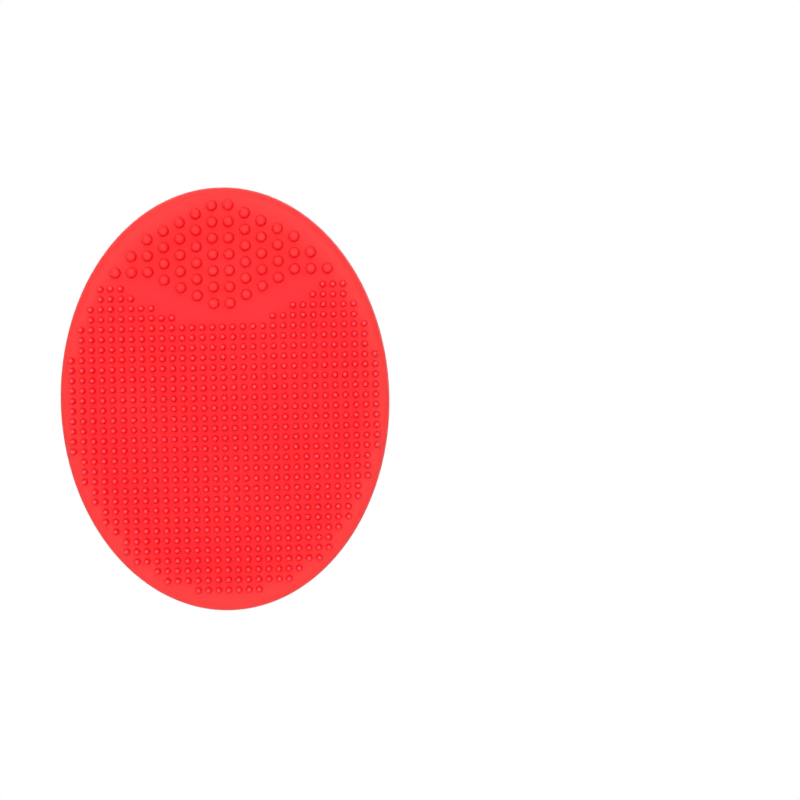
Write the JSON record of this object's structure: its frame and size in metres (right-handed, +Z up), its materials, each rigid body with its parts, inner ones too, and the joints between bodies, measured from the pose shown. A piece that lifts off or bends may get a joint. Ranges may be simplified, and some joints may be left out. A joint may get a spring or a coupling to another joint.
{
  "type": "facial cleansing brush",
  "caption": "Oval silicone face brush with fine bristles, a patch of thick massage nubs, side finger grooves and a suction cup on a flexible neck.",
  "frame": {"origin": "centre of the suction cup's rim, in the plane that seals on the wall", "axes": "+Z up the long axis towards the end with the thick nubs, +Y the way the suction cup faces, so the bristles point along -Y; +X across the pad"},
  "size_m": [0.0504, 0.0237, 0.065],
  "materials": {
    "pad_silicone": "satin moulded silicone",
    "bristle_silicone": "satin moulded silicone",
    "nub_silicone": "satin moulded silicone",
    "cup_silicone": "matt fine-textured silicone"
  },
  "bodies": {
    "cup_lip": {"cup_lip": "cup_silicone", "cup_skirt": "cup_silicone"},
    "cup_crown": {"cup_crown": "cup_silicone", "cup_gate_nub": "cup_silicone"},
    "neck": {"cup_neck": "pad_silicone"},
    "pad": {"rear_plate": "pad_silicone", "grip_waist": "pad_silicone", "front_plate": "pad_silicone", "bristle_pad": "bristle_silicone", "nub_pad": "nub_silicone"}
  },
  "joints": [
    {"name": "cup_press", "type": "slide", "parent": "cup_lip", "child": "cup_crown", "axis": [0, 1, 0], "range_m": [0, 0.002], "stiffness_N_per_m": 3000, "deforming": ["cup_skirt"]},
    {"name": "neck_pitch", "type": "hinge", "parent": "cup_crown", "child": "neck", "pos_m": [0, -0.0075, 0], "axis": [1, 0, 0], "range_deg": [-12, 12], "stiffness_Nm_per_rad": 0.15},
    {"name": "neck_yaw", "type": "hinge", "parent": "neck", "child": "pad", "pos_m": [0, -0.0075, 0], "axis": [0, 0, 1], "range_deg": [-12, 12], "stiffness_Nm_per_rad": 0.15}
  ]
}
